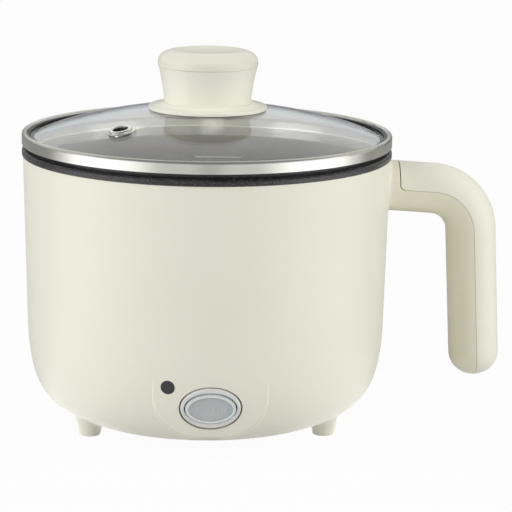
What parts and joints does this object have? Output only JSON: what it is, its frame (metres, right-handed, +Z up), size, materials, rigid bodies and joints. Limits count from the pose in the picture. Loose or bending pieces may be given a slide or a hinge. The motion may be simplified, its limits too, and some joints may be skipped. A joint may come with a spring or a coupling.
{
  "type": "electric hot pot",
  "caption": "Small electric hot pot: round tub with a bent side handle, front rocker switch and a lift-off glass lid with a knob.",
  "frame": {"origin": "on the pot's axis, at the level of the table that the feet stand on", "axes": "+Z up along the pot's axis; +X towards the side handle; -Y towards the front switch, so the power inlet faces +Y"},
  "size_m": [0.2418, 0.1846, 0.1874],
  "materials": {
    "cream_shell": "satin moulded, cream",
    "pot_coating": "dark grey speckled non-stick coating on aluminium",
    "silicone": "soft, pale",
    "clear_silicone": "translucent grey",
    "black_silicone": "soft, black",
    "aluminium": "cast",
    "steel": "plain",
    "polished_steel": "polished",
    "brass_contact": "bright",
    "black_plastic": "fine texture",
    "grey_plastic": "smooth",
    "glass": "clear tempered",
    "lamp_glass": "clear",
    "fuse_metal": "plain",
    "glass_sleeve": "woven fibre",
    "wire_brown": "insulation",
    "wire_blue": "insulation",
    "wire_red": "insulation",
    "wire_green": "insulation"
  },
  "bodies": {
    "pot_base": {"outer_shell": "cream_shell", "base_cover": "cream_shell", "base_screws": "steel", "foot_pads": "silicone", "inner_pot": "pot_coating", "pot_seal": "silicone", "heater_plate": "aluminium", "heating_element": "steel", "element_terminals": "steel", "support_ring": "steel", "ring_screws": "steel", "heat_shield": "steel", "shield_studs": "steel", "shield_nuts": "steel", "thermostat": "black_plastic", "thermostat_clip": "steel", "thermal_fuse": "fuse_metal", "fuse_sleeve": "glass_sleeve", "switch_body": "black_plastic", "switch_boot": "clear_silicone", "switch_lamp": "lamp_glass", "switch_terminals": "brass_contact", "half_power_diode": "black_plastic", "inlet_housing": "black_plastic", "inlet_pins": "brass_contact", "inlet_terminals": "brass_contact", "inlet_screws": "steel", "lead_live": "wire_brown", "lead_neutral": "wire_blue", "lead_heater": "wire_red", "lead_earth": "wire_green", "handle_inner": "cream_shell", "handle_outer": "cream_shell", "handle_screws": "steel", "grip_screws": "steel", "grip_plugs": "cream_shell"},
    "rocker": {"switch_rocker": "grey_plastic", "rocker_key": "clear_silicone"},
    "lid": {"lid_glass": "glass", "lid_rim": "polished_steel", "glass_seal": "black_silicone", "vent_eyelet": "polished_steel", "knob_base": "cream_shell", "knob_body": "cream_shell", "knob_cap": "cream_shell", "knob_screw": "steel", "knob_washer": "steel", "knob_gasket": "silicone"}
  },
  "joints": [
    {"name": "lid_lift", "type": "slide", "parent": "pot_base", "child": "lid", "axis": [0, 0, 1], "range_m": [0, 0.12]},
    {"name": "rocker_tilt", "type": "hinge", "parent": "pot_base", "child": "rocker", "pos_m": [0, -0.08319, 0.02992], "axis": [0, -0.1908, 0.9816], "range_deg": [-6, 6]}
  ]
}
